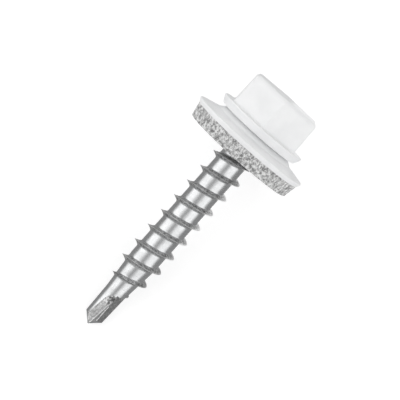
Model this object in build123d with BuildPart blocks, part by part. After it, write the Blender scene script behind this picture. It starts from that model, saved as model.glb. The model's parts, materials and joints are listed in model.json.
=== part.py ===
"""Self-drilling roofing screw with a bonded sealing washer.

Three pieces: a cold-formed steel screw (hexagon washer head, plain neck, coarse rolled
thread and forged drill point in one), a pressed metal washer, and the rubber sealing
washer bonded under it. The washer pair turns freely on the neck.

The pieces are modelled upright, with the drill tip at the origin and the axis along +Z,
then laid down together as a loose screw lies: on the washer's rim and the drill point.
"""

import os
from math import atan2, cos, degrees, radians, sin, sqrt, tan

from build123d import *

# ------------------------------------------------------------------ driving sizes, mm
# Heights are measured up the axis from the drill tip, directions from the X axis.

# Drill point
point_angle = 92.0  # included angle of the cutting tip, degrees
drill_diameter = 2.18  # over the cutting corners
drill_shank_diameter = 2.40  # where the drill joins the threaded shank
drill_length = 4.50
web_thickness = 0.26  # metal left between the two flutes at the tip
rake_direction = -57.0  # of the cutting face, degrees
flute_opening = 88.0  # between the cutting face and the flute's floor, degrees
flute_hollow = 0.10  # how far the floor bows into the drill
flute_climb = 10.0  # slope of the flute as it rises out of the drill, degrees
flute_length = 3.40  # up to where it turns out of the drill
flute_turn_clearance = 0.11  # between its cutter and the axis the cutter turns about
cutter_margin = 0.10  # how far its cutter stands clear of the drill
relief_direction = -34.0  # that the flat behind the cutting edge faces, degrees
relief_depth = 0.115
relief_end_gap = 0.05  # the flat ends this far short of the threaded shank

# Threaded shank
core_diameter = 3.23
core_taper_length = 4.40  # from the drill to the full core
under_head_length = 27.10  # drill tip to the underside of the flange
neck_diameter = 3.90
neck_length = 3.10
neck_cone_length = 0.40

# Thread: right-handed, one start
thread_pitch = 2.08
thread_depth = 0.685
thread_foot_width = 0.80
thread_waist_width = 0.26
thread_waist_share = 0.45  # of the depth, where the hollow flanks change slope
thread_sink = 0.06  # how deep its foot is bedded in the core
thread_direction = -12.0  # in which the thread starts, degrees
thread_start_gap = 0.35  # plain length between the drill and the thread
thread_start_share = 0.18  # of the full depth, where it starts
thread_lead_in_turns = 1.1
thread_run_out_turns = 0.2
thread_end_share = 0.08  # of the full depth, where it ends
thread_end_gap = 0.10  # plain length between the thread and the neck

# Head
head_across_flats = 8.30
head_height = 3.85  # above the flange
head_draft = 1.2  # taper of the six flats, degrees
head_corner_round = 0.50
head_crown_bevel = 0.30
head_foot_bevel = 0.22
head_direction = 32.0  # of one corner, degrees
flange_overhang = 0.57  # beyond the hexagon's corners, as they are before rounding
flange_edge_slope = 0.48  # the flange narrows by this on its way down
flange_thickness = 0.90
flange_edge_bevel = 0.10

# Metal washer
washer_diameter = 14.06
washer_thickness = 0.60
washer_crown_diameter = 8.20  # flat ring that the flange seats on
washer_step_diameter = 9.90  # foot of the crown, where the cone begins
washer_step_drop = 0.60
washer_cone_drop = 0.50
washer_bore_diameter = 5.00
washer_edge_slope = 0.28  # the rim narrows by this on its way down
washer_edge_bevel = 0.08

# Sealing washer
seal_rim_depth = 1.55  # below the metal washer's rim
seal_edge_slope = 0.29  # its edge narrows by this on its way down
seal_edge_bevel = 0.10
neck_clearance = 0.05  # between the sealing washer and the neck, all round
seal_mouth_clearance = 0.10  # between the thread's crest and the mouth of the bore

# ------------------------------------------------------------------ derived places
drill_radius = drill_diameter / 2
drill_shank_radius = drill_shank_diameter / 2
cutter_reach = drill_radius + cutter_margin
flute_runout_radius = cutter_reach + flute_turn_clearance
core_radius = core_diameter / 2
neck_radius = neck_diameter / 2
tip_height = drill_radius / tan(radians(point_angle / 2))
full_core_at = drill_length + core_taper_length
neck_at = under_head_length - neck_length
flange_top = under_head_length + flange_thickness
flange_radius = head_across_flats / 2 / cos(radians(30)) + flange_overhang
flange_seat_radius = flange_radius - flange_edge_slope

thread_start = drill_length + thread_start_gap
lead_in_end = thread_start + thread_lead_in_turns * thread_pitch
thread_end = neck_at - thread_end_gap
run_out_start = thread_end - thread_run_out_turns * thread_pitch

washer_radius = washer_diameter / 2
crown_radius = washer_crown_diameter / 2
step_radius = washer_step_diameter / 2
washer_bore_radius = washer_bore_diameter / 2
step_foot = under_head_length - washer_step_drop
rim_top = step_foot - washer_cone_drop
cone_fall = washer_cone_drop / (washer_radius - step_radius)
seal_top_radius = washer_radius - washer_edge_slope
rim_bottom = rim_top - washer_thickness + cone_fall * washer_edge_slope
seal_bottom = rim_bottom - seal_rim_depth
seal_bottom_radius = seal_top_radius - seal_edge_slope
seal_bore_radius = neck_radius + neck_clearance
seal_mouth_radius = core_radius + thread_depth + seal_mouth_clearance
seal_mouth_top = seal_bottom + seal_mouth_radius - seal_bore_radius


def ramp(value, low, high, low_result, high_result):
    """Straight-line change between two places, level outside them."""
    share = min(max((value - low) / (high - low), 0.0), 1.0)
    return low_result + share * (high_result - low_result)


def core_radius_at(height):
    """Radius of the bare shank that the thread stands on."""
    return ramp(height, drill_length, full_core_at, drill_shank_radius, core_radius)


def thread_share_at(height):
    """Depth of the thread as a share of its full depth."""
    lead_in = ramp(height, thread_start, lead_in_end, thread_start_share, 1.0)
    run_out = ramp(height, run_out_start, thread_end, 1.0, thread_end_share)
    return lead_in * run_out


def crest_radius_at(height):
    """Radius of the thread's crest."""
    return core_radius_at(height) + thread_depth * thread_share_at(height)


def thread_turn_at(height):
    """How far the thread has turned by a height, in degrees."""
    return 360 * (height - thread_start) / thread_pitch


def axial_plane(height, direction):
    """Half-plane through the axis: x is outward, y is up."""
    outward = (cos(radians(direction)), sin(radians(direction)), 0)
    normal = (sin(radians(direction)), -cos(radians(direction)), 0)
    return Plane(origin=(0, 0, height), x_dir=outward, z_dir=normal)


def thread_span(start, end):
    """A stretch of the thread's ridge. It starts at height zero, over the X axis."""
    slope = degrees(atan2(crest_radius_at(end) - crest_radius_at(start), end - start))
    pitch_along_slope = thread_pitch / cos(radians(slope))
    with BuildPart() as span:
        with BuildLine() as crest_line:
            Helix(pitch_along_slope, end - start, crest_radius_at(start), cone_angle=slope)
        for height in (start, end):
            share = thread_share_at(height)
            core = core_radius_at(height)
            waist_radius = core + thread_waist_share * thread_depth * share
            half_foot = thread_foot_width / 2 * share
            half_waist = thread_waist_width / 2 * share
            turn = thread_turn_at(height) - thread_turn_at(start)
            with BuildSketch(axial_plane(height - start, turn)):
                with BuildLine():
                    Polyline(
                        (core - thread_sink, half_foot),
                        (waist_radius, half_waist),
                        (crest_radius_at(height), 0),
                        (waist_radius, -half_waist),
                        (core - thread_sink, -half_foot),
                        close=True,
                    )
                make_face()
        sweep(path=crest_line.wire(), multisection=True, is_frenet=True)
    return span.part


# ------------------------------------------------------------------ drill cutters
# One flute. Its cutting face is nearly radial and faces the way the screw is driven; its
# floor is square to that and rises out of the drill, gently and then in a curve.
rake = Vector(1, 0).rotate(Axis.Z, rake_direction)
uphill = Vector(0, 0, 1) * cos(radians(flute_climb)) + rake * sin(radians(flute_climb))
flute_foot = Vector(0, -web_thickness / 2)
flute_bend = flute_foot + uphill * (flute_length / cos(radians(flute_climb)))
bend_plane = Plane(origin=flute_bend, x_dir=rake.cross(Vector(0, 0, 1)), z_dir=uphill)
with BuildPart() as flute:
    floor_end = Vector(0, 1).rotate(Axis.Z, -flute_opening) * cutter_reach
    with BuildSketch(bend_plane) as flute_section:
        with BuildLine():
            ThreePointArc((0, 0), floor_end * 0.5 - Vector(0, flute_hollow), floor_end)
            Polyline(floor_end, (floor_end.X, cutter_reach), (0, cutter_reach), (0, 0))
        make_face()
    extrude(amount=-2 * flute_bend.length)
    bend_centre = bend_plane.from_local_coords(Vector(0, flute_runout_radius))
    bend_axis = Axis(bend_centre, -bend_plane.x_dir)
    revolve(flute_section.sketch, axis=bend_axis, revolution_arc=90)

# The flat that relieves the drill behind one cutting edge.
relieved = Vector(1, 0).rotate(Axis.Z, relief_direction)
relief_face = Plane(
    origin=relieved * (drill_radius - relief_depth), x_dir=(0, 0, 1), z_dir=relieved
)
with BuildPart() as relief:
    with BuildSketch(relief_face):
        Rectangle(2 * (drill_length - relief_end_gap), 2 * cutter_reach)
    extrude(amount=cutter_reach)

# ------------------------------------------------------------------ screw
with BuildPart() as screw:
    # The turned form of the blank, from the drill tip up to the flange.
    with BuildSketch(Plane.XZ):
        with BuildLine():
            Polyline(
                (0, 0),
                (drill_radius, tip_height),
                (drill_shank_radius, drill_length),
                (core_radius, full_core_at),
                (core_radius, neck_at),
                (neck_radius, neck_at + neck_cone_length),
                (neck_radius, under_head_length),
                (flange_seat_radius, under_head_length),
                (flange_radius, flange_top),
                (0, flange_top),
                close=True,
            )
        make_face()
    revolve(axis=Axis.Z)
    flange_rim = screw.edges().filter_by(GeomType.CIRCLE).sort_by(SortBy.RADIUS)[-1]
    chamfer(flange_rim, flange_edge_bevel)

    # Hexagon, drafted towards its crown, with rounded corners and a bevelled crown.
    for height in (0, head_height):
        narrowing = height * tan(radians(head_draft))
        with BuildSketch(Plane.XY.offset(flange_top + height)):
            RegularPolygon(
                head_across_flats / 2 - narrowing,
                6,
                major_radius=False,
                rotation=head_direction,
            )
    loft(ruled=True)
    corners = screw.edges(Select.LAST).filter_by_position(
        Axis.Z, flange_top + head_height / 4, flange_top + 3 * head_height / 4
    )
    fillet(corners, head_corner_round)
    crown = screw.faces().sort_by(Axis.Z)[-1]
    chamfer(crown.edges(), head_crown_bevel)
    foot = screw.edges().filter_by(GeomType.CIRCLE, reverse=True)
    foot = foot.filter_by_position(
        Axis.Z, flange_top - head_foot_bevel / 2, flange_top + head_foot_bevel / 2
    )
    chamfer(foot, head_foot_bevel)

    # The thread, in stretches between the places where its depth or its core changes.
    changes = sorted((thread_start, lead_in_end, full_core_at, run_out_start, thread_end))
    for start, end in zip(changes, changes[1:]):
        turn = thread_direction + thread_turn_at(start)
        with Locations(Location((0, 0, start), (0, 0, turn))):
            add(thread_span(start, end))

    # Two flutes and their reliefs, half a turn apart.
    with PolarLocations(0, 2):
        add(flute.part, mode=Mode.SUBTRACT)
        add(relief.part, mode=Mode.SUBTRACT)

# ------------------------------------------------------------------ metal washer
# Pressed from sheet: a flat crown under the flange, a step, and a shallow cone.
with BuildPart() as metal_washer:
    with BuildSketch(Plane.XZ):
        with BuildLine():
            Polyline(
                (washer_bore_radius, under_head_length),
                (crown_radius, under_head_length),
                (step_radius, step_foot),
                (washer_radius, rim_top),
                (seal_top_radius, rim_bottom),
                (step_radius, step_foot - washer_thickness),
                (crown_radius, under_head_length - washer_thickness),
                (washer_bore_radius, under_head_length - washer_thickness),
                close=True,
            )
        make_face()
    revolve(axis=Axis.Z)
    rim = metal_washer.edges().filter_by(GeomType.CIRCLE).sort_by(SortBy.RADIUS)[-1]
    chamfer(rim, washer_edge_bevel)

# ------------------------------------------------------------------ sealing washer
# Fills the metal washer from below and is bonded to it all over.
with BuildPart() as sealing_washer:
    with BuildSketch(Plane.XZ):
        with BuildLine():
            Polyline(
                (seal_bore_radius, under_head_length - washer_thickness),
                (crown_radius, under_head_length - washer_thickness),
                (step_radius, step_foot - washer_thickness),
                (seal_top_radius, rim_bottom),
                (seal_bottom_radius, seal_bottom),
                (seal_mouth_radius, seal_bottom),
                (seal_bore_radius, seal_mouth_top),
                close=True,
            )
        make_face()
    revolve(axis=Axis.Z)
    edge = sealing_washer.edges().filter_by_position(
        Axis.Z, seal_bottom - seal_edge_bevel / 2, seal_bottom + seal_edge_bevel / 2
    )
    chamfer(edge.sort_by(SortBy.RADIUS)[-1], seal_edge_bevel)

# ------------------------------------------------------------------ laid down to rest
# The floor touches the washer's rim and, on the drill, both edges of one flute.
level_foot = flute_foot + uphill * (tip_height / uphill.Z)


def flute_edge(face_direction):
    """Where a face of the flute meets the drill's side, level with the cutting corners."""
    outward = Vector(1, 0).rotate(Axis.Z, face_direction)
    middle = level_foot.dot(outward)
    off_axis = level_foot.cross(outward).Z
    return level_foot + outward * (sqrt(drill_radius**2 - off_axis**2) - middle)


cutting_corner = flute_edge(rake_direction)
across_flute = cutting_corner - flute_edge(rake_direction - flute_opening)
floor_direction = 90 + degrees(atan2(across_flute.Y, across_flute.X))
drill_reach = cutting_corner.cross(across_flute).Z / across_flute.length
tilt = degrees(atan2(washer_radius - drill_reach, rim_top - tip_height))
spun = Location((0, 0, 0), (0, 0, -floor_direction))
laid_down = Location((0, 0, 0), (0, 90 - tilt, 0)) * spun

os.makedirs("parts", exist_ok=True)
pieces = {"screw": screw, "metal_washer": metal_washer, "sealing_washer": sealing_washer}
lying = {name: piece.part.moved(laid_down) for name, piece in pieces.items()}
box = Compound(list(lying.values())).bounding_box()
to_origin = Location((-box.center().X, -box.center().Y, -box.min.Z))
for name, piece in lying.items():
    resting = piece.moved(to_origin)
    resting.label = name
    export_step(resting, f"parts/{name}.step")
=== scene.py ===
"""Self-drilling roofing screw with its bonded sealing washer, lying in a pale studio."""

import json
from itertools import product
from math import atan2, ceil, cos, hypot, pi, radians, sin, sqrt, tan

import bmesh
import bpy
from mathutils import Matrix, Vector, noise


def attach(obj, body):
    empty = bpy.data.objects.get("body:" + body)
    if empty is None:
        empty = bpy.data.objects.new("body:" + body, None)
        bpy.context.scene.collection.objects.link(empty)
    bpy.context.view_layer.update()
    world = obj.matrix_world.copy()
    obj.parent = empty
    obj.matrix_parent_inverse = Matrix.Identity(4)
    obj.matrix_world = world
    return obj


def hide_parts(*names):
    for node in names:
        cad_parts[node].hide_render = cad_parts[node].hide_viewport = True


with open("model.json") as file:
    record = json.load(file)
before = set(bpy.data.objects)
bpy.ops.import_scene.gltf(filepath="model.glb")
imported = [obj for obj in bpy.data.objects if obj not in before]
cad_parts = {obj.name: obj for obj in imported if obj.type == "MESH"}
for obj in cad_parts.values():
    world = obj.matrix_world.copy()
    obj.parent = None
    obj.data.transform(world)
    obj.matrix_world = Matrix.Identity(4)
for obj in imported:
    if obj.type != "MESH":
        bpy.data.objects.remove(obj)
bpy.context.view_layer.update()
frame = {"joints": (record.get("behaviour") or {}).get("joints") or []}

# ------------------------------------------------------------------ sizes, mm
# Heights are measured up the screw's axis from the drill tip. Angles are in degrees.
MM = 0.001

point_angle = 92.0
drill_radius = 1.09
drill_shank_radius = 1.20
drill_length = 4.50
web_thickness = 0.26
rake_direction = -57.0
flute_opening = 88.0
flute_hollow = 0.10
flute_climb = 10.0
flute_length = 3.40
flute_turn_clearance = 0.11
cutter_margin = 0.10
relief_direction = -34.0
relief_depth = 0.115
relief_end_gap = 0.05

core_radius = 1.615
core_taper_length = 4.40
under_head_length = 27.10
neck_radius = 1.95
neck_length = 3.10
neck_cone_length = 0.40

thread_pitch = 2.08
thread_depth = 0.685
thread_foot_width = 0.80
thread_flank_hollow = 1.9  # power of the flank's curve: 1 is straight
thread_direction = -12.0
thread_start = 4.85
thread_end = 23.90
thread_start_share = 0.18
thread_lead_in_turns = 1.1
thread_end_share = 0.08
thread_run_out_turns = 0.2

flange_radius = 5.362
flange_seat_radius = 4.882
flange_thickness = 0.90
flange_edge_rounds = (0.10, 0.12)  # lower, upper
head_across_flats = 8.30
head_height = 3.85
head_draft = 1.2
head_corner_round = 0.50
head_foot_round = 0.26
head_crown_round = 0.50
head_direction = 32.0

washer_radius = 7.03
washer_thickness = 0.60
washer_crown_radius = 4.10
washer_step_radius = 4.95
washer_step_drop = 0.60
washer_cone_drop = 0.50
washer_bore_radius = 2.50
washer_edge_slope = 0.28
washer_bend_rounds = (0.5, 0.4)  # above: crown, step
washer_inner_bend_round = 0.3
washer_bore_round = 0.08
washer_edge_rounds = (0.10, 0.04)  # upper, lower

seal_rim_depth = 1.55
seal_edge_slope = 0.29
neck_clearance = 0.05
seal_mouth_clearance = 0.10
seal_edge_rounds = (0.02, 0.12)  # upper, lower
seal_mouth_round = 0.08
seal_dent_depth = 0.11

cutter_reach = drill_radius + cutter_margin
flute_runout_radius = cutter_reach + flute_turn_clearance
tip_height = drill_radius / tan(radians(point_angle / 2))
neck_at = under_head_length - neck_length
flange_top = under_head_length + flange_thickness
step_foot = under_head_length - washer_step_drop
rim_top = step_foot - washer_cone_drop
cone_fall = washer_cone_drop / (washer_radius - washer_step_radius)
seal_top_radius = washer_radius - washer_edge_slope
rim_bottom = rim_top - washer_thickness + cone_fall * washer_edge_slope
seal_bottom = rim_bottom - seal_rim_depth
seal_bottom_radius = seal_top_radius - seal_edge_slope
seal_bore_radius = neck_radius + neck_clearance
seal_mouth_radius = core_radius + thread_depth + seal_mouth_clearance

AROUND = 96  # facets round the shank
WASHER_AROUND = 240
THREAD_ROWS = 25  # points across one pitch of the thread
WELD_DISTANCE = 0.0005

# ------------------------------------------------------------------ where it lies
spin = next(joint for joint in frame["joints"] if joint["name"] == "washer_spin")
axis = Vector(spin["axis"]).normalized()
tip = Vector(spin["pos_m"]) - axis * seal_bottom * MM
flute_foot = Vector((0, -web_thickness / 2, 0))
rake = Vector((cos(radians(rake_direction)), sin(radians(rake_direction)), 0))
uphill = Vector((0, 0, cos(radians(flute_climb)))) + rake * sin(radians(flute_climb))
# The flute's inner line, level with the cutting corners.
level_foot = flute_foot + uphill * (tip_height / uphill.z)


def flute_edge(face_direction):
    """Where a face of the flute meets the drill's side, level with the cutting corners."""
    outward = Vector((cos(radians(face_direction)), sin(radians(face_direction)), 0))
    middle = level_foot.dot(outward)
    off_axis = level_foot.cross(outward).z
    return level_foot + outward * (sqrt(drill_radius**2 - off_axis**2) - middle)


# The floor touches both edges of one flute.
across_flute = flute_edge(rake_direction) - flute_edge(rake_direction - flute_opening)
floor_direction = pi / 2 + atan2(across_flute.y, across_flute.x)
LAID = (
    Matrix.Translation(tip)
    @ Matrix.Rotation(atan2(axis.x, axis.z), 4, "Y")
    @ Matrix.Rotation(-floor_direction, 4, "Z")
    @ Matrix.Scale(MM, 4)
)


def along(x, y, z):
    """A direction on the upright screw, as it points in the room."""
    return (LAID.to_3x3() @ Vector((x, y, z))).normalized()


# ------------------------------------------------------------------ mesh helpers
def polar(radius, angle, height):
    return Vector((radius * cos(angle), radius * sin(angle), height))


def finish_mesh(mesh, sharp_angle):
    """Lays the mesh down with the screw, and shades it smooth up to an angle."""
    mesh.transform(LAID)
    mesh.shade_smooth()
    mesh.set_sharp_from_angle(angle=radians(sharp_angle))


def new_piece(name, mesh, material, body, node):
    piece = bpy.data.objects.new(name, mesh)
    bpy.context.scene.collection.objects.link(piece)
    mesh.materials.clear()
    mesh.materials.append(material)
    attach(piece, body)
    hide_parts(node)


def loft(name, rings, closed_section=False):
    """A mesh through rings of points. A ring of one point is a pole."""
    shape = bmesh.new()
    rows = [[shape.verts.new(point) for point in ring] for ring in rings]
    pairs = list(zip(rows, rows[1:]))
    if closed_section:
        pairs.append((rows[-1], rows[0]))
    for low, high in pairs:
        count = max(len(low), len(high))
        for k in range(count):
            corners = [low[k % len(low)], low[(k + 1) % len(low)]]
            corners += [high[(k + 1) % len(high)], high[k % len(high)]]
            shape.faces.new(list(dict.fromkeys(corners)))
    bmesh.ops.recalc_face_normals(shape, faces=shape.faces)
    mesh = bpy.data.meshes.new(name)
    shape.to_mesh(mesh)
    shape.free()
    return mesh


def capped_loft(name, rings):
    """A loft whose two ends are closed with fans of triangles."""
    return loft(name, [[middle_of(rings[0])]] + rings + [[middle_of(rings[-1])]])


def rounded(points, radii, steps=5):
    """An outline with its corners rounded. A radius of zero leaves the corner sharp."""
    outline = []
    count = len(points)
    for k, (point, radius) in enumerate(zip(points, radii)):
        here = Vector(point)
        if radius == 0:
            outline.append(here)
            continue
        before = (Vector(points[k - 1]) - here).normalized()
        after = (Vector(points[(k + 1) % count]) - here).normalized()
        half = before.angle(after) / 2
        reach = radius / tan(half)
        centre = here + (before + after).normalized() * radius / sin(half)
        start = (here + before * reach - centre).normalized()
        end = (here + after * reach - centre).normalized()
        outline += [centre + start.slerp(end, step / steps) * radius for step in range(steps + 1)]
    return outline


def middle_of(ring):
    return sum(ring, Vector()) / len(ring)


def revolved(name, outline, around):
    """A ring with a closed outline of (radius, height) points."""
    rings = [[polar(r, 2 * pi * k / around, h) for k in range(around)] for r, h in outline]
    return loft(name, rings, closed_section=True)


# ------------------------------------------------------------------ threaded shank
class Nodes:
    """Adds nodes to a tree with short calls."""

    def __init__(self, tree):
        self.tree = tree

    def node(self, kind, inputs=None, **settings):
        node = self.tree.nodes.new(kind)
        for key, value in settings.items():
            setattr(node, key, value)
        for key, value in (inputs or {}).items():
            if isinstance(value, bpy.types.NodeSocket):
                self.tree.links.new(value, node.inputs[key])
            else:
                node.inputs[key].default_value = value
        return node

    def sum(self, operation, *values):
        inputs = dict(enumerate(values))
        return self.node("ShaderNodeMath", inputs, operation=operation).outputs[0]

    def ramp(self, value, low, high, low_result, high_result):
        inputs = {0: value, 1: low, 2: high, 3: low_result, 4: high_result}
        return self.node("ShaderNodeMapRange", inputs, clamp=True).outputs[0]


class Sums(Nodes):
    """A Geometry Nodes tree with named sizes as its inputs."""

    def __init__(self, name, sizes):
        super().__init__(bpy.data.node_groups.new(name, "GeometryNodeTree"))
        sockets = self.tree.interface
        sockets.new_socket("Geometry", in_out="OUTPUT", socket_type="NodeSocketGeometry")
        for label, value in sizes.items():
            socket = sockets.new_socket(label, in_out="INPUT", socket_type="NodeSocketFloat")
            socket.default_value = value
        self.size = self.node("NodeGroupInput").outputs

    def wound(self, columns, rows, radius, height, turn):
        """A grid wound round the axis by its radius, height and turn at each point."""
        grid = self.node("GeometryNodeMeshGrid", {2: columns, 3: rows})
        angle = self.sum("MULTIPLY", turn, 2 * pi)
        x = self.sum("MULTIPLY", radius, self.sum("COSINE", angle))
        y = self.sum("MULTIPLY", radius, self.sum("SINE", angle))
        place = self.node("ShaderNodeCombineXYZ", {0: x, 1: y, 2: height}).outputs[0]
        inputs = {"Geometry": grid.outputs["Mesh"], "Position": place}
        return self.node("GeometryNodeSetPosition", inputs).outputs[0]


def column_and_row(sums, rows):
    """Where each point of a grid stands, counted from 0."""
    index = sums.node("GeometryNodeInputIndex").outputs[0]
    column = sums.sum("FLOOR", sums.sum("DIVIDE", sums.sum("ADD", index, 0.5), rows))
    row = sums.sum("SUBTRACT", index, sums.sum("MULTIPLY", column, rows))
    return column, row


def ridge_share(sums, turn, turns):
    """How much of its full depth the ridge has: it grows in and runs out."""
    size = sums.size
    onset_turns = 0.06
    close_turns = 0.04
    rise = sums.ramp(turn, 0, size["Lead In Turns"], size["Start Share"], 1)
    onset = sums.ramp(turn, -onset_turns, 0, 0, 1)
    run_out_from = sums.sum("SUBTRACT", turns, size["Run Out Turns"])
    fall = sums.ramp(turn, run_out_from, turns, 1, size["End Share"])
    close = sums.ramp(turn, turns, turns + close_turns, 1, 0)
    lead_in = sums.sum("MULTIPLY", rise, onset)
    return sums.sum("MULTIPLY", lead_in, sums.sum("MULTIPLY", fall, close))


def ridge_height(sums, away, share):
    """The ridge's height over the core, this far from its crest along the screw."""
    size = sums.size
    half_foot = sums.sum("MULTIPLY", share, sums.sum("MULTIPLY", size["Foot Width"], 0.5))
    half_foot = sums.sum("MAXIMUM", half_foot, 0.001)
    flank = sums.ramp(away, 0, half_foot, 1, 0)
    hollow_flank = sums.sum("POWER", flank, size["Flank Hollow"])
    depth = sums.sum("MULTIPLY", size["Thread Depth"], share)
    return sums.sum("MULTIPLY", depth, hollow_flank)


def thread_surface(sums, core_at):
    """The rolled surface: a pitch-wide strip wound up the core, ridge in its middle."""
    size = sums.size
    turns = (thread_end - thread_start) / thread_pitch
    columns = ceil((turns + 2) * AROUND) + 1
    column, row = column_and_row(sums, THREAD_ROWS)
    turn = sums.sum("SUBTRACT", sums.sum("DIVIDE", column, AROUND), 1)

    # Rows crowd towards the crest.
    crowding = 1.7
    side = sums.sum("SUBTRACT", sums.sum("DIVIDE", row, (THREAD_ROWS - 1) / 2), 1)
    spread = sums.sum("POWER", sums.sum("ABSOLUTE", side), crowding)
    away = sums.sum("MULTIPLY", spread, sums.sum("MULTIPLY", size["Pitch"], 0.5))
    signed_away = sums.sum("MULTIPLY", away, sums.sum("SIGN", side))
    climbed = sums.sum("MULTIPLY", turn, size["Pitch"])
    crest_height = sums.sum("ADD", size["Thread Start"], climbed)
    height = sums.sum("ADD", crest_height, signed_away)
    height = sums.sum("MAXIMUM", height, size["Drill Length"])
    height = sums.sum("MINIMUM", height, size["Neck Start"])

    ridge = ridge_height(sums, away, ridge_share(sums, turn, turns))
    radius = sums.sum("ADD", core_at(height), ridge)
    shifted = sums.sum("ADD", turn, thread_direction / 360)
    strip = sums.wound(columns, THREAD_ROWS, radius, height, shifted)
    rise_share = sums.sum("DIVIDE", ridge, size["Thread Depth"])
    inputs = {"Geometry": strip, "Name": "ridge", "Value": rise_share}
    settings = {"data_type": "FLOAT", "domain": "POINT"}
    return sums.node("GeometryNodeStoreNamedAttribute", inputs, **settings).outputs[0]


def plain_band(sums, low, high, rows):
    """A turned cone between two (radius, height) places."""
    column, row = column_and_row(sums, rows)
    share = sums.sum("DIVIDE", row, rows - 1)
    radius = sums.ramp(share, 0, 1, low[0], high[0])
    height = sums.ramp(share, 0, 1, low[1], high[1])
    turn = sums.sum("ADD", sums.sum("DIVIDE", column, AROUND), thread_direction / 360)
    return sums.wound(AROUND + 1, rows, radius, height, turn)


def shank_sizes():
    """The tree's inputs by name."""
    return {
        "Drill Radius": drill_radius,
        "Drill Shank Radius": drill_shank_radius,
        "Tip Height": tip_height,
        "Drill Length": drill_length,
        "Core Radius": core_radius,
        "Core Taper": core_taper_length,
        "Neck Start": neck_at,
        "Neck Cone": neck_cone_length,
        "Neck Radius": neck_radius,
        "Top": under_head_length + flange_thickness / 2,
        "Pitch": thread_pitch,
        "Thread Depth": thread_depth,
        "Foot Width": thread_foot_width,
        "Flank Hollow": thread_flank_hollow,
        "Thread Start": thread_start,
        "Start Share": thread_start_share,
        "Lead In Turns": thread_lead_in_turns,
        "End Share": thread_end_share,
        "Run Out Turns": thread_run_out_turns,
    }


def shank_tree(material, sizes):
    """Tip cone, drill, threaded core and neck in one welded surface."""
    sums = Sums("rolled_thread", sizes)
    size = sums.size
    taper_end = sums.sum("ADD", size["Drill Length"], size["Core Taper"])

    def core_at(height):
        thin, full = size["Drill Shank Radius"], size["Core Radius"]
        return sums.ramp(height, size["Drill Length"], taper_end, thin, full)

    neck_cone_top = sums.sum("ADD", size["Neck Start"], size["Neck Cone"])
    lower = [
        (0.0, 0.0),
        (size["Drill Radius"], size["Tip Height"]),
        (size["Drill Shank Radius"], size["Drill Length"]),
    ]
    upper = [
        (size["Core Radius"], size["Neck Start"]),
        (size["Neck Radius"], neck_cone_top),
        (size["Neck Radius"], size["Top"]),
        (0.0, size["Top"]),
    ]
    bands = [thread_surface(sums, core_at)]
    bands += [plain_band(sums, low, high, 9) for low, high in zip(lower, lower[1:])]
    bands += [plain_band(sums, low, high, 3) for low, high in zip(upper, upper[1:])]
    return welded(sums, bands, material)


def welded(sums, bands, material):
    """Ends the tree with its bands joined into one surface of one material."""
    join = sums.node("GeometryNodeJoinGeometry")
    for band in bands:
        sums.tree.links.new(band, join.inputs[0])
    inputs = {"Geometry": join.outputs[0], "Distance": WELD_DISTANCE}
    weld = sums.node("GeometryNodeMergeByDistance", inputs)
    real = sums.node("GeometryNodeRealizeInstances", {"Geometry": weld.outputs[0]})
    inputs = {"Geometry": real.outputs[0], "Material": material}
    dressed = sums.node("GeometryNodeSetMaterial", inputs)
    out = sums.node("NodeGroupOutput")
    sums.tree.links.new(dressed.outputs[0], out.inputs[0])
    return sums.tree


def grown(name, tree, sizes):
    """The plain mesh that a tree makes with these sizes."""
    seed = bpy.data.objects.new(name, bpy.data.meshes.new(name))
    bpy.context.scene.collection.objects.link(seed)
    modifier = seed.modifiers.new("shape", "NODES")
    modifier.node_group = tree
    for item in tree.interface.items_tree:
        if item.in_out == "INPUT" and item.name in sizes:
            modifier[item.identifier] = sizes[item.name]
    bpy.context.view_layer.update()
    depsgraph = bpy.context.evaluated_depsgraph_get()
    mesh = bpy.data.meshes.new_from_object(seed.evaluated_get(depsgraph))
    seed.modifiers.remove(modifier)
    bpy.data.objects.remove(seed)
    mesh.name = name
    return mesh


def flute_section():
    """Across one flute: its hollow floor from the web out, then back down its wall."""
    floor_steps = 12
    wall_strips = 20
    opening = radians(flute_opening)
    floor_end = Vector((sin(opening), cos(opening))) * cutter_reach
    section = []
    for step in range(floor_steps + 1):
        share = step / floor_steps
        hollow = Vector((0, -4 * flute_hollow * share * (1 - share)))
        section.append(floor_end * share + hollow)
    section.append(Vector((floor_end.x, cutter_reach)))
    for step in range(wall_strips, 0, -1):
        section.append(Vector((0, cutter_reach * step / wall_strips)))
    return section


def flute_cutter():
    """What one flute removes: a run that rises gently, then a curve out of the drill."""
    run_steps = 20
    bend_steps = 18
    section = flute_section()
    side = rake.cross(Vector((0, 0, 1)))
    out = uphill.cross(side)
    bend = flute_foot + uphill * (flute_length / cos(radians(flute_climb)))
    run = [-bend.length * step / run_steps for step in range(run_steps, -1, -1)]
    rings = []
    for along_run in [-2 * bend.length] + run:
        rings.append([bend + side * x + out * y + uphill * along_run for x, y in section])
    for step in range(1, bend_steps + 1):
        swing = pi / 2 * step / bend_steps
        ring = []
        for x, y in section:
            arm = flute_runout_radius - y
            outward = out * (flute_runout_radius - arm * cos(swing))
            ring.append(bend + side * x + outward + uphill * arm * sin(swing))
        rings.append(ring)
    mesh = capped_loft("flute_cutter", rings)
    mark_flute(mesh, side, bend)
    return mesh


def mark_flute(mesh, side, bend):
    """Names the faces of the cut metal: its sheared wall, the wall's two long edges for a painted
    highlight, and its torn end for painted shade and glints.
    """
    squarely = 0.9
    torn_from = -0.4
    mark_faces(mesh, "cut", lambda face: 1)
    mark_faces(mesh, "sheared", lambda face: abs(face.normal.dot(side)) > squarely)
    mark_faces(mesh, "edge", lambda face: on_painted_highlight_edge(face.center))
    mark_faces(mesh, "torn_end_painted_shade_glints", lambda face: (face.center - bend).dot(uphill) > torn_from)


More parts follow.
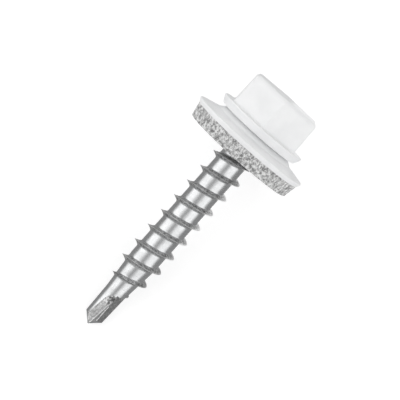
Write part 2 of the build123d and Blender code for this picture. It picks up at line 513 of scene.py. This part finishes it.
def on_painted_highlight_edge(place):
    """Whether a place on the cutting face lies along one of its two long edges, where a highlight
    is painted.
    """
    web_band = 0.17
    outer_band = 0.13
    from_web = (place - flute_foot).cross(uphill).length
    return from_web < web_band or hypot(place.x, place.y) > drill_radius - outer_band


def mark_faces(mesh, name, rule):
    """Stores what a rule says of each face, for the material to read."""
    values = [float(rule(face)) for face in mesh.polygons]
    mesh.attributes.new(name, "FLOAT", "FACE").data.foreach_set("value", values)


def relief_cutter():
    """What the flat behind one cutting edge removes."""
    towards = polar(1, radians(relief_direction), 0)
    beside = towards.cross(Vector((0, 0, 1)))
    below_tip = -1
    corners = [(0, -1), (0, 1), (1, 1), (1, -1)]
    rings = []
    for height in (below_tip, drill_length - relief_end_gap):
        inner = towards * (drill_radius - relief_depth) + Vector((0, 0, height))
        outer = [(towards * out + beside * aside) * cutter_reach for out, aside in corners]
        rings.append([inner + corner for corner in outer])
    mesh = capped_loft("relief_cutter", rings)
    mark_faces(mesh, "cut", lambda face: 1)
    mark_faces(mesh, "land", lambda face: 1)
    return mesh


def linked(mesh):
    """A scratch object that carries a mesh while it is cut or cuts."""
    carrier = bpy.data.objects.new(mesh.name, mesh)
    bpy.context.scene.collection.objects.link(carrier)
    return carrier


def cut_from(blank_mesh, cutter_meshes):
    """The plain mesh that is left when each cutter has taken its share."""
    blank = linked(blank_mesh)
    cutters = [linked(mesh) for mesh in cutter_meshes]
    for cutter in cutters:
        cut = blank.modifiers.new(cutter.name, "BOOLEAN")
        cut.operation = "DIFFERENCE"
        cut.solver = "EXACT"
        cut.object = cutter
    bpy.context.view_layer.update()
    depsgraph = bpy.context.evaluated_depsgraph_get()
    mesh = bpy.data.meshes.new_from_object(blank.evaluated_get(depsgraph))
    for used in [blank] + cutters:
        bpy.data.objects.remove(used)
    return mesh


def threaded_shank(material):
    """The wound surface with two flutes and two relief flats, half a turn apart."""
    sizes = shank_sizes()
    blank_mesh = grown("threaded_shank", shank_tree(material, sizes), sizes)
    cutter_meshes = []
    for turn, make in product((0, pi), (flute_cutter, relief_cutter)):
        cutter_mesh = make()
        cutter_mesh.transform(Matrix.Rotation(turn, 4, "Z"))
        cutter_meshes.append(cutter_mesh)
    mesh = cut_from(blank_mesh, cutter_meshes)
    finish_mesh(mesh, sharp_angle=28)
    new_piece("threaded_shank", mesh, material, "screw", "screw")


# ------------------------------------------------------------------ coated head
def hexagon_ring(inset, height, corner_round, corner_steps=8, flat_steps=6):
    """A hexagon with rounded corners, drawn in by an inset, at a height."""
    apothem = head_across_flats / 2 - inset
    corner_round = max(corner_round - inset, 0.02)
    points = []
    for corner in range(6):
        towards = radians(head_direction + 60 * corner)
        centre = polar((apothem - corner_round) / cos(pi / 6), towards, height)
        arc = [towards + radians(-30 + 60 * k / corner_steps) for k in range(corner_steps + 1)]
        points += [centre + polar(corner_round, angle, 0) for angle in arc]
        following = towards + radians(60)
        next_centre = polar((apothem - corner_round) / cos(pi / 6), following, height)
        flat_start = points[-1]
        flat_end = next_centre + polar(corner_round, following - radians(30), 0)
        points += [flat_start.lerp(flat_end, k / flat_steps) for k in range(1, flat_steps)]
    return points


def circle_ring(radius, height, like):
    """A circle whose points stand in line with those of another ring."""
    return [polar(radius, atan2(point.y, point.x), height) for point in like]


def flange_rings(like):
    """Up the flange's underside and edge, to the foot of the hexagon."""
    under_from = 3.6
    edge = rounded(
        [
            (0, under_head_length),
            (flange_seat_radius, under_head_length),
            (flange_radius, flange_top),
            (0, flange_top),
        ],
        [0, *flange_edge_rounds, 0],
    )[1:-1]
    edge = [Vector((under_from, under_head_length))] + edge
    return [circle_ring(radius, height, like) for radius, height in edge]


def hexagon_level(up, extra_inset):
    """The hexagon's ring this far above the flange, on its tapered flats or inside them."""
    inset = up * tan(radians(head_draft)) + extra_inset
    return hexagon_ring(inset, flange_top + up, head_corner_round)


def foot_rings(steps=6):
    rings = []
    for step in range(steps + 1):
        swing = pi / 2 * step / steps
        up = head_foot_round * (1 - cos(swing))
        rings.append(hexagon_level(up, -head_foot_round * (1 - sin(swing))))
    return rings


def flat_rings(crown_from, steps=8):
    reach = crown_from - head_foot_round
    return [hexagon_level(head_foot_round + reach * step / steps, 0) for step in range(1, steps)]


def crown_rings(crown_from, steps=8):
    rings = []
    for step in range(steps + 1):
        swing = pi / 2 * step / steps
        up = crown_from + head_crown_round * sin(swing)
        inset = crown_from * tan(radians(head_draft)) + head_crown_round * (1 - cos(swing))
        rings.append(hexagon_ring(inset, flange_top + up, head_corner_round))
    return rings


def coated_head(material):
    like = hexagon_ring(-head_foot_round, flange_top, head_corner_round)
    crown_from = head_height - head_crown_round
    rings = [[Vector((0, 0, under_head_length))]] + flange_rings(like)
    rings += foot_rings() + flat_rings(crown_from) + crown_rings(crown_from)
    centre = Vector((0, 0, flange_top + head_height))
    for share in (0.8, 0.4):
        rings.append([centre.lerp(point, share) for point in rings[-1]])
    rings.append([centre])
    mesh = loft("coated_head", rings)
    finish_mesh(mesh, sharp_angle=35)
    new_piece("coated_head", mesh, material, "screw", "screw")


# ------------------------------------------------------------------ washers
def divided(outline, longest, from_radius):
    """An outline with more points on its long stretches outside a radius."""
    finer = []
    for here, following in zip(outline, outline[1:] + outline[:1]):
        outside = min(here.x, following.x) >= from_radius
        parts = ceil((following - here).length / longest) if outside else 1
        finer += [here.lerp(following, part / parts) for part in range(parts)]
    return finer


def roughen_rim(mesh):
    """Wears small dents into the seal's cut edge. Nothing moves outwards."""
    inside = seal_bottom_radius - 0.2
    below = rim_bottom - 0.05
    wide, narrow = 2.6, 6.0  # how closely the dents follow each other
    for vertex in mesh.vertices:
        place = vertex.co
        if hypot(place.x, place.y) > inside and place.z < below:
            waves = noise.noise(place * wide) + 0.5 * noise.noise(place * narrow)
            dent = max(0, waves) * seal_dent_depth
            level = Vector((place.x, place.y, 0)) * (1 - dent / seal_bottom_radius)
            vertex.co = level + Vector((0, 0, place.z))


def pressed_washer(material):
    outline = rounded(
        [
            (washer_bore_radius, under_head_length),
            (washer_crown_radius, under_head_length),
            (washer_step_radius, step_foot),
            (washer_radius, rim_top),
            (seal_top_radius, rim_bottom),
            (washer_step_radius, step_foot - washer_thickness),
            (washer_crown_radius, under_head_length - washer_thickness),
            (washer_bore_radius, under_head_length - washer_thickness),
        ],
        [
            washer_bore_round,
            *washer_bend_rounds,
            *washer_edge_rounds,
            washer_inner_bend_round,
            washer_inner_bend_round,
            washer_bore_round,
        ],
    )
    mesh = revolved("pressed_washer", outline, WASHER_AROUND)
    finish_mesh(mesh, sharp_angle=40)
    new_piece("pressed_washer", mesh, material, "washer", "metal_washer")


def rubber_seal(material):
    outline = rounded(
        [
            (seal_bore_radius, under_head_length - washer_thickness),
            (washer_crown_radius, under_head_length - washer_thickness),
            (washer_step_radius, step_foot - washer_thickness),
            (seal_top_radius, rim_bottom),
            (seal_bottom_radius, seal_bottom),
            (seal_mouth_radius, seal_bottom),
            (seal_bore_radius, seal_bottom + seal_mouth_radius - seal_bore_radius),
        ],
        [0, 0, 0, *seal_edge_rounds, seal_mouth_round, seal_mouth_round],
    )
    outline = divided(outline, longest=0.12, from_radius=seal_bottom_radius - 0.3)
    mesh = revolved("rubber_seal", outline, 2 * WASHER_AROUND)
    roughen_rim(mesh)
    finish_mesh(mesh, sharp_angle=60)
    new_piece("rubber_seal", mesh, material, "washer", "sealing_washer")


# ------------------------------------------------------------------ materials
class Finish(Nodes):
    """A procedural material. Grain sizes and bump depths are in mm."""

    def __init__(self, name, metallic):
        self.material = bpy.data.materials.new(name)
        self.material.use_nodes = True
        super().__init__(self.material.node_tree)
        self.shader = self.tree.nodes["Principled BSDF"]
        self.shader.inputs["Metallic"].default_value = metallic
        self.place = self.node("ShaderNodeTexCoord").outputs["Object"]

    def grain(self, size, detail=2.0, roughness=0.5):
        """Cloudy noise with grains of this size, from 0 to 1."""
        inputs = {
            "Vector": self.place,
            "Scale": 1 / (size * MM),
            "Detail": detail,
            "Roughness": roughness,
        }
        return self.node("ShaderNodeTexNoise", inputs, noise_dimensions="3D").outputs[0]

    def marked(self, name):
        """How strongly a point carries an attribute, from 0 to 1."""
        return self.node("ShaderNodeAttribute", attribute_name=name).outputs["Fac"]

    def mixed(self, share, first, second):
        """A blend of two colours, or of two outputs."""
        inputs = {"Factor": share, 6: first, 7: second}
        return self.node("ShaderNodeMix", inputs, data_type="RGBA").outputs[2]

    def set(self, socket, value):
        self.tree.links.new(value, self.shader.inputs[socket])

    def bumped(self, height, depth):
        inputs = {"Height": height, "Distance": depth * MM, "Strength": 1.0}
        self.set("Normal", self.node("ShaderNodeBump", inputs).outputs[0])


def grey(level, warmth=0.0):
    return (level * (1 + warmth), level, level * (1 - warmth), 1)


def speckled(finish, grit, darker, paler, upto=0.62):
    """Dark and pale metal, mixed by the grit."""
    share = finish.ramp(grit, 0.4, upto, 0, 1)
    return finish.mixed(share, grey(darker), grey(paler))


def worn_thread_painted_crest(finish, grit):
    """The scuffed ridge, with a painted highlight along its crest."""
    flank = finish.mixed(finish.ramp(grit, 0.42, 0.6, 0, 1), grey(0.24), grey(0.86))
    # Painted highlight: the crest is painted near white.
    painted_crest_highlight = finish.ramp(finish.marked("ridge"), 0.6, 0.95, 0, 1)
    return finish.mixed(painted_crest_highlight, flank, grey(0.92))


def raw_flute_painted_light(finish, grit):
    """Cut metal with painted light: flute floor painted paler than the relief flat, sheared wall
    painted darker with a painted highlight along both edges, torn end with painted shade and
    glints.
    """
    # Painted light: the flute floor is painted paler than the relief flat, as if lit.
    floor = speckled(finish, grit, 0.44, 0.82)
    land = speckled(finish, grit, 0.30, 0.60)
    raw = finish.mixed(finish.marked("land"), floor, land)
    # Painted shade on the sheared wall, and a painted highlight along its two long edges.
    wall_painted_shade_highlight = speckled(finish, grit, 0.34, 0.62, upto=0.6)
    wall_painted_shade_highlight = finish.mixed(finish.marked("edge"), wall_painted_shade_highlight, grey(1.0))
    raw = finish.mixed(finish.marked("sheared"), raw, wall_painted_shade_highlight)
    # Painted shadow and glints at the flute's end: dark patches and bright chips by noise.
    painted_shade_glint_mix = finish.ramp(finish.grain(0.34, detail=3, roughness=0.7), 0.46, 0.56, 0, 1)
    torn_end_painted_shade_glints = finish.mixed(painted_shade_glint_mix, grey(0.26), grey(0.90))
    return finish.mixed(finish.marked("torn_end_painted_shade_glints"), raw, torn_end_painted_shade_glints)


def bright_zinc():
    """Electroplated steel: bright on the shank, scuffed on the thread with a painted highlight
    along its crest, raw in the flutes with painted light, shade and highlights.
    """
    finish = Finish("bright_zinc", metallic=1)
    grit = finish.grain(0.28, detail=4, roughness=0.75)
    uneven = finish.sum("ADD", finish.grain(0.9, detail=3), finish.sum("MULTIPLY", grit, 0.8))
    mottle = finish.ramp(uneven, 0.6, 1.2, 0, 1)
    scuffed = finish.ramp(finish.marked("ridge"), 0.02, 0.3, 0, 1)
    cut = finish.marked("cut")

    plated = finish.mixed(mottle, grey(0.54, -0.01), grey(0.66, -0.01))
    wear = finish.sum("MULTIPLY", scuffed, 0.9)
    colour = finish.mixed(wear, plated, worn_thread_painted_crest(finish, grit))
    finish.set("Base Color", finish.mixed(cut, colour, raw_flute_painted_light(finish, grit)))

    rough = finish.ramp(mottle, 0, 1, 0.30, 0.20)
    for where, more in ((scuffed, 0.14), (cut, 0.06), (finish.marked("edge"), 0.45)):
        rough = finish.sum("ADD", rough, finish.sum("MULTIPLY", where, more))
    finish.set("Roughness", rough)

    relief = finish.ramp(finish.sum("MAXIMUM", scuffed, cut), 0, 1, 0.3, 1)
    finish.bumped(finish.sum("MULTIPLY", grit, relief), 0.035)
    return finish.material


def white_powder_coat():
    """Baked powder: slightly uneven in tone, with a fine orange-peel surface."""
    finish = Finish("white_powder_coat", metallic=0)
    cloud = finish.ramp(finish.grain(2.4, detail=3), 0.35, 0.65, 0, 1)
    peel = finish.grain(0.32, detail=1)
    finish.set("Base Color", finish.mixed(cloud, grey(0.84, -0.006), grey(0.89, -0.004)))
    finish.set("Roughness", finish.ramp(peel, 0.3, 0.7, 0.34, 0.46))
    finish.bumped(finish.sum("ADD", peel, finish.sum("MULTIPLY", cloud, 0.6)), 0.012)
    return finish.material


def speckled_rubber():
    """Rubber filled with pale and dark grains."""
    finish = Finish("speckled_rubber", metallic=0)
    grains = finish.grain(0.36, detail=3, roughness=0.6)
    fine = finish.grain(0.11, detail=1)
    finer = finish.sum("MULTIPLY", finish.sum("SUBTRACT", fine, 0.5), 0.5)
    level = finish.sum("ADD", grains, finer)
    pale = finish.ramp(level, 0.38, 0.62, 0, 1)
    finish.set("Base Color", finish.mixed(pale, grey(0.20), grey(0.76)))
    finish.set("Roughness", finish.ramp(fine, 0.3, 0.7, 0.75, 0.95))
    finish.bumped(level, 0.06)
    return finish.material


zinc = bright_zinc()
white = white_powder_coat()

threaded_shank(zinc)
coated_head(white)
pressed_washer(white)
rubber_seal(speckled_rubber())


# ------------------------------------------------------------------ studio
CAMERA_LEAN = 5.8  # degrees towards the head
CAMERA_DISTANCE = 0.273
CAMERA_TARGET = (0.17, 0, 17.73)  # on the upright screw, mm
VIEW_ANGLE = 8.8
SCREW_SLOPE = 48.2  # degrees that the screw rises in the picture


def camera_above():
    """Looks down on the screw, square to its axis but for a small lean."""
    near = along(0, -1, 0)
    lean = radians(CAMERA_LEAN)
    to_camera = near * cos(lean) + axis * sin(lean)
    target = LAID @ Vector(CAMERA_TARGET)
    lens = bpy.data.cameras.new("camera")
    lens.sensor_width = 36
    lens.lens = lens.sensor_width / 2 / tan(radians(VIEW_ANGLE / 2))
    lens.clip_start = 0.01
    camera = bpy.data.objects.new("camera", lens)
    bpy.context.scene.collection.objects.link(camera)
    across = along(1, 0, 0)
    ahead = to_camera.cross(across).normalized()
    across = ahead.cross(to_camera).normalized()
    roll = radians(90 - SCREW_SLOPE)
    up = ahead * cos(roll) - across * sin(roll)
    right = up.cross(to_camera).normalized()
    turned = Matrix((right, up, to_camera)).transposed().to_4x4()
    camera.matrix_world = Matrix.Translation(target + to_camera * CAMERA_DISTANCE) @ turned
    bpy.context.scene.camera = camera


def glow_only(name, level):
    """A stage material that only glows, by an attribute of its mesh."""
    material = bpy.data.materials.new(name)
    material.use_nodes = True
    nodes = Nodes(material.node_tree)
    shader = material.node_tree.nodes["Principled BSDF"]
    shader.inputs["Base Color"].default_value = (0, 0, 0, 1)
    shader.inputs["Specular IOR Level"].default_value = 0
    shader.inputs["Emission Color"].default_value = (1, 1, 1, 1)
    glow = nodes.node("ShaderNodeAttribute", attribute_name="glow").outputs["Fac"]
    nodes.tree.links.new(nodes.sum("MULTIPLY", glow, level), shader.inputs["Emission Strength"])
    return material


def stage_sheet(name, rows, glow, level):
    """A lit or dark sheet of the studio, with a glow for each row of points."""
    shape = bmesh.new()
    lines = [[shape.verts.new(point) for point in row] for row in rows]
    for (a, b), (d, c) in zip(lines, lines[1:]):
        shape.faces.new((a, b, c, d))
    mesh = bpy.data.meshes.new(name)
    shape.to_mesh(mesh)
    shape.free()
    levels = [value for value in glow for _ in range(2)]
    mesh.attributes.new("glow", "FLOAT", "POINT").data.foreach_set("value", levels)
    mesh.materials.append(glow_only(name, level))
    sheet = bpy.data.objects.new(name, mesh)
    bpy.context.scene.collection.objects.link(sheet)
    sheet.visible_camera = False
    return sheet


def card(name, inner, outer, fade_in, fade_out, level):
    """A bent light card parallel to the screw, between two angles from the camera's side."""
    radius = 0.5
    steps = 36
    ends = (-0.25, 0.45)
    least_glow = 0.35
    middle_height = 15
    near, across = along(0, -1, 0), along(1, 0, 0)
    centre = LAID @ Vector((0, 0, middle_height))
    rows, glow = [], []
    for step in range(steps + 1):
        angle = inner + (outer - inner) * step / steps
        out = near * cos(radians(angle)) + across * sin(radians(angle))
        rows.append([centre + out * radius + axis * end for end in ends])
        rising = least_glow + abs(angle - inner) / fade_in
        falling = abs(outer - angle) / fade_out
        glow.append(min(1, rising, falling))
    stage_sheet(name, rows, glow, level)


def pale_floor():
    """A faintly glowing floor, with dark flags beside the screw that only its gloss sees."""
    bpy.ops.mesh.primitive_plane_add(size=4)
    floor = bpy.context.object
    floor.name = "studio_floor"
    material = bpy.data.materials.new("pale_floor")
    material.use_nodes = True
    shader = material.node_tree.nodes["Principled BSDF"]
    shader.inputs["Base Color"].default_value = grey(0.50)
    shader.inputs["Roughness"].default_value = 0.9
    shader.inputs["Specular IOR Level"].default_value = 0
    shader.inputs["Emission Color"].default_value = (1, 1, 1, 1)
    shader.inputs["Emission Strength"].default_value = 0.64
    floor.data.materials.append(material)
    dark_flag(side=-1, clear_share=0.7)
    dark_flag(side=1, clear_share=0)


def dark_flag(side, clear_share):
    """A dark sheet on the floor beside the screw, clear of it by a share of its height."""
    width = 0.8
    above_floor = 0.0001
    heights = (-25, 0, 60)  # up the screw, mm
    rows = []
    for height in heights:
        foot = LAID @ Vector((0, 0, height))
        clear = max(0, height) * clear_share * axis.z * MM
        row = [Vector((foot.x, side * out, above_floor)) for out in (clear, clear + width)]
        rows.append(row)
    flag = stage_sheet("dark_flag", rows, glow=[1, 1, 1], level=0.34)
    flag.visible_diffuse = False
    flag.visible_shadow = False


def soft_light():
    world = bpy.data.worlds.new("studio")
    world.use_nodes = True
    sky = world.node_tree.nodes["Background"]
    sky.inputs["Color"].default_value = (1, 1, 1, 1)
    sky.inputs["Strength"].default_value = 0.5
    bpy.context.scene.world = world
    card("left_card", inner=-10, outer=-98, fade_in=40, fade_out=22, level=1.65)
    card("right_card", inner=5, outer=92, fade_in=40, fade_out=22, level=1.5)
    bpy.context.scene.view_settings.view_transform = "Standard"


camera_above()
pale_floor()
soft_light()
